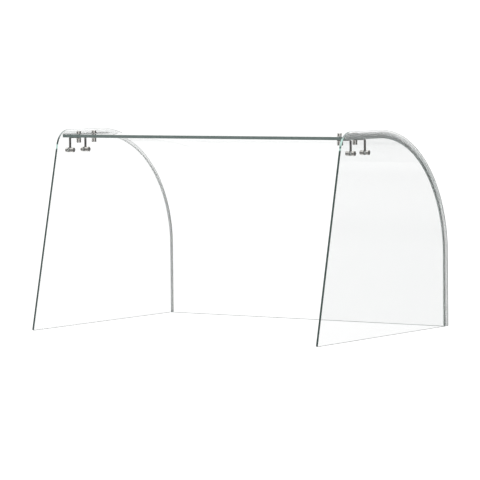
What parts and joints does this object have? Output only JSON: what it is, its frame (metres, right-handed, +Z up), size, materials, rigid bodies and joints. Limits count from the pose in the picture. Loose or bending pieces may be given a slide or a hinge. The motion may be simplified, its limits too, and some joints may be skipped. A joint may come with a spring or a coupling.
{
  "type": "curved glass cold frame",
  "caption": "Free-standing glass enclosure: a bent pane forms the roof and back, held between flat side panes by small bolted L brackets; open in front and below.",
  "frame": {"origin": "on the ground, in the middle of the enclosure's width and depth", "axes": "+X to the right seen from the open front, +Y to the curved back, +Z up"},
  "size_m": [0.917, 0.6342, 0.527],
  "materials": {
    "bent_glass": "clear float glass, bent, polished edges",
    "side_glass": "clear float glass, polished edges",
    "clear_seal": "clear silicone",
    "clear_gasket": "clear soft plastic",
    "steel_bar": "satin stainless steel",
    "polished_steel": "polished stainless steel"
  },
  "bodies": {
    "enclosure": {"bent_pane": "bent_glass", "left_side_pane": "side_glass", "left_end_seal": "clear_seal", "left_front_bracket": "steel_bar", "left_front_roof_screw": "polished_steel", "left_front_roof_outer_gasket": "clear_gasket", "left_front_roof_sleeve": "clear_gasket", "left_front_roof_inner_gasket": "clear_gasket", "left_front_side_screw": "polished_steel", "left_front_side_outer_gasket": "clear_gasket", "left_front_side_sleeve": "clear_gasket", "left_front_side_inner_gasket": "clear_gasket", "left_rear_bracket": "steel_bar", "left_rear_roof_screw": "polished_steel", "left_rear_roof_outer_gasket": "clear_gasket", "left_rear_roof_sleeve": "clear_gasket", "left_rear_roof_inner_gasket": "clear_gasket", "left_rear_side_screw": "polished_steel", "left_rear_side_outer_gasket": "clear_gasket", "left_rear_side_sleeve": "clear_gasket", "left_rear_side_inner_gasket": "clear_gasket", "right_side_pane": "side_glass", "right_end_seal": "clear_seal", "right_front_bracket": "steel_bar", "right_front_roof_screw": "polished_steel", "right_front_roof_outer_gasket": "clear_gasket", "right_front_roof_sleeve": "clear_gasket", "right_front_roof_inner_gasket": "clear_gasket", "right_front_side_screw": "polished_steel", "right_front_side_outer_gasket": "clear_gasket", "right_front_side_sleeve": "clear_gasket", "right_front_side_inner_gasket": "clear_gasket", "right_rear_bracket": "steel_bar", "right_rear_roof_screw": "polished_steel", "right_rear_roof_outer_gasket": "clear_gasket", "right_rear_roof_sleeve": "clear_gasket", "right_rear_roof_inner_gasket": "clear_gasket", "right_rear_side_screw": "polished_steel", "right_rear_side_outer_gasket": "clear_gasket", "right_rear_side_sleeve": "clear_gasket", "right_rear_side_inner_gasket": "clear_gasket"},
    "left_front_roof_nut_washer_body": {"left_front_roof_nut_washer": "steel_bar"},
    "left_front_roof_nut_body": {"left_front_roof_nut": "polished_steel"},
    "left_front_side_nut_washer_body": {"left_front_side_nut_washer": "steel_bar"},
    "left_front_side_nut_body": {"left_front_side_nut": "polished_steel"},
    "left_rear_roof_nut_washer_body": {"left_rear_roof_nut_washer": "steel_bar"},
    "left_rear_roof_nut_body": {"left_rear_roof_nut": "polished_steel"},
    "left_rear_side_nut_washer_body": {"left_rear_side_nut_washer": "steel_bar"},
    "left_rear_side_nut_body": {"left_rear_side_nut": "polished_steel"},
    "right_front_roof_nut_washer_body": {"right_front_roof_nut_washer": "steel_bar"},
    "right_front_roof_nut_body": {"right_front_roof_nut": "polished_steel"},
    "right_front_side_nut_washer_body": {"right_front_side_nut_washer": "steel_bar"},
    "right_front_side_nut_body": {"right_front_side_nut": "polished_steel"},
    "right_rear_roof_nut_washer_body": {"right_rear_roof_nut_washer": "steel_bar"},
    "right_rear_roof_nut_body": {"right_rear_roof_nut": "polished_steel"},
    "right_rear_side_nut_washer_body": {"right_rear_side_nut_washer": "steel_bar"},
    "right_rear_side_nut_body": {"right_rear_side_nut": "polished_steel"}
  },
  "joints": [
    {"name": "left_front_roof_nut_travel", "type": "slide", "parent": "enclosure", "child": "left_front_roof_nut_washer_body", "axis": [0, 0, -1], "range_m": [0, 0.008]},
    {"name": "left_front_roof_nut_turn", "type": "hinge", "parent": "left_front_roof_nut_washer_body", "child": "left_front_roof_nut_body", "pos_m": [-0.413, -0.1525, 0.5027], "axis": [0, 0, -1], "range_deg": [0, 3600]},
    {"name": "left_front_side_nut_travel", "type": "slide", "parent": "enclosure", "child": "left_front_side_nut_washer_body", "axis": [1, 0, 0], "range_m": [0, 0.008]},
    {"name": "left_front_side_nut_turn", "type": "hinge", "parent": "left_front_side_nut_washer_body", "child": "left_front_side_nut_body", "pos_m": [-0.4407, -0.1525, 0.472], "axis": [1, 0, 0], "range_deg": [0, 3600]},
    {"name": "left_rear_roof_nut_travel", "type": "slide", "parent": "enclosure", "child": "left_rear_roof_nut_washer_body", "axis": [0, 0, -1], "range_m": [0, 0.008]},
    {"name": "left_rear_roof_nut_turn", "type": "hinge", "parent": "left_rear_roof_nut_washer_body", "child": "left_rear_roof_nut_body", "pos_m": [-0.413, -0.0855, 0.5027], "axis": [0, 0, -1], "range_deg": [0, 3600]},
    {"name": "left_rear_side_nut_travel", "type": "slide", "parent": "enclosure", "child": "left_rear_side_nut_washer_body", "axis": [1, 0, 0], "range_m": [0, 0.008]},
    {"name": "left_rear_side_nut_turn", "type": "hinge", "parent": "left_rear_side_nut_washer_body", "child": "left_rear_side_nut_body", "pos_m": [-0.4407, -0.0855, 0.472], "axis": [1, 0, 0], "range_deg": [0, 3600]},
    {"name": "right_front_roof_nut_travel", "type": "slide", "parent": "enclosure", "child": "right_front_roof_nut_washer_body", "axis": [0, 0, -1], "range_m": [0, 0.008]},
    {"name": "right_front_roof_nut_turn", "type": "hinge", "parent": "right_front_roof_nut_washer_body", "child": "right_front_roof_nut_body", "pos_m": [0.413, -0.1525, 0.5027], "axis": [0, 0, -1], "range_deg": [0, 3600]},
    {"name": "right_front_side_nut_travel", "type": "slide", "parent": "enclosure", "child": "right_front_side_nut_washer_body", "axis": [-1, 0, 0], "range_m": [0, 0.008]},
    {"name": "right_front_side_nut_turn", "type": "hinge", "parent": "right_front_side_nut_washer_body", "child": "right_front_side_nut_body", "pos_m": [0.4407, -0.1525, 0.472], "axis": [-1, 0, 0], "range_deg": [0, 3600]},
    {"name": "right_rear_roof_nut_travel", "type": "slide", "parent": "enclosure", "child": "right_rear_roof_nut_washer_body", "axis": [0, 0, -1], "range_m": [0, 0.008]},
    {"name": "right_rear_roof_nut_turn", "type": "hinge", "parent": "right_rear_roof_nut_washer_body", "child": "right_rear_roof_nut_body", "pos_m": [0.413, -0.0855, 0.5027], "axis": [0, 0, -1], "range_deg": [0, 3600]},
    {"name": "right_rear_side_nut_travel", "type": "slide", "parent": "enclosure", "child": "right_rear_side_nut_washer_body", "axis": [-1, 0, 0], "range_m": [0, 0.008]},
    {"name": "right_rear_side_nut_turn", "type": "hinge", "parent": "right_rear_side_nut_washer_body", "child": "right_rear_side_nut_body", "pos_m": [0.4407, -0.0855, 0.472], "axis": [-1, 0, 0], "range_deg": [0, 3600]}
  ],
  "couplings": [
    {"joint": "left_front_roof_nut_travel", "follows": "left_front_roof_nut_turn", "m_per_rad": 0.00012732},
    {"joint": "left_front_side_nut_travel", "follows": "left_front_side_nut_turn", "m_per_rad": 0.00012732},
    {"joint": "left_rear_roof_nut_travel", "follows": "left_rear_roof_nut_turn", "m_per_rad": 0.00012732},
    {"joint": "left_rear_side_nut_travel", "follows": "left_rear_side_nut_turn", "m_per_rad": 0.00012732},
    {"joint": "right_front_roof_nut_travel", "follows": "right_front_roof_nut_turn", "m_per_rad": 0.00012732},
    {"joint": "right_front_side_nut_travel", "follows": "right_front_side_nut_turn", "m_per_rad": 0.00012732},
    {"joint": "right_rear_roof_nut_travel", "follows": "right_rear_roof_nut_turn", "m_per_rad": 0.00012732},
    {"joint": "right_rear_side_nut_travel", "follows": "right_rear_side_nut_turn", "m_per_rad": 0.00012732}
  ]
}
